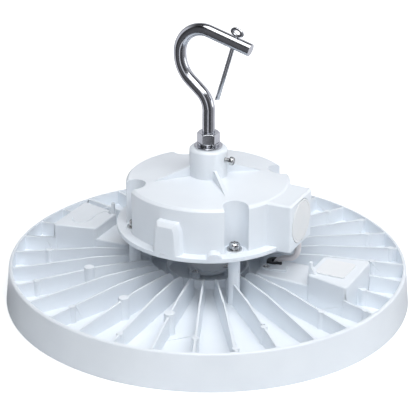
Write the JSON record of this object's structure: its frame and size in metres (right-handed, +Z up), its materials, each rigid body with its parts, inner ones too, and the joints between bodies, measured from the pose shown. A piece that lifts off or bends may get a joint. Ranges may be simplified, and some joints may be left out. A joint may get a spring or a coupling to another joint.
{
  "type": "high bay light",
  "caption": "Round finned high bay light with a driver housing on four posts above the heat sink, a wiring plug at its side and an open hook with a split safety pin on top.",
  "frame": {"origin": "where the hook's axis meets the plane of the heat sink rim's foot", "axes": "+Z up along the hook's shank, +X toward the wiring box and plug of the driver housing"},
  "size_m": [0.33, 0.33, 0.2289],
  "materials": {
    "board_white": "white solder mask on an aluminium core board",
    "bright_steel": "bright zinc-plated steel",
    "cable_jacket": "pale cable jacket",
    "capacitor_sleeve": "dark shrink sleeve",
    "clear_cover": "clear tempered glass",
    "driver_laminate": "green glass-fibre laminate",
    "ferrite": "dark ferrite round an amber taped coil",
    "gasket_rubber": "dark grey silicone",
    "led_phosphor": "yellow phosphor in a white package",
    "plain_aluminium": "plain sheet aluminium",
    "polished_steel": "polished bright-plated steel",
    "terminal_plastic": "moulded terminal block",
    "warm_plastic": "warm off-white moulded plastic",
    "white_casting": "satin white powder coat on die-cast aluminium",
    "zinc_steel": "zinc-plated steel"
  },
  "bodies": {
    "root": {"base_gasket": "gasket_rubber", "base_plate": "plain_aluminium", "cable_entry_grommet": "gasket_rubber", "cable_exit_grommet": "gasket_rubber", "capacitors": "capacitor_sleeve", "driver_board": "driver_laminate", "driver_housing": "white_casting", "entry_plug": "warm_plastic", "flange_screws": "bright_steel", "flange_spring_washers": "bright_steel", "flange_washers": "bright_steel", "grommet_retainer": "white_casting", "heat_sink": "white_casting", "hook": "polished_steel", "hook_nut": "polished_steel", "hook_spring_washer": "bright_steel", "hook_washer": "bright_steel", "hub_cover": "white_casting", "led_board": "board_white", "leds": "led_phosphor", "lens_cover": "clear_cover", "lens_gasket": "gasket_rubber", "lens_screws": "zinc_steel", "lock_screw": "bright_steel", "output_cable": "cable_jacket", "plug_seal": "gasket_rubber", "pocket_cap": "warm_plastic", "safety_pin": "bright_steel", "terminal_block": "terminal_plastic", "transformer": "ferrite"}
  },
  "joints": []
}
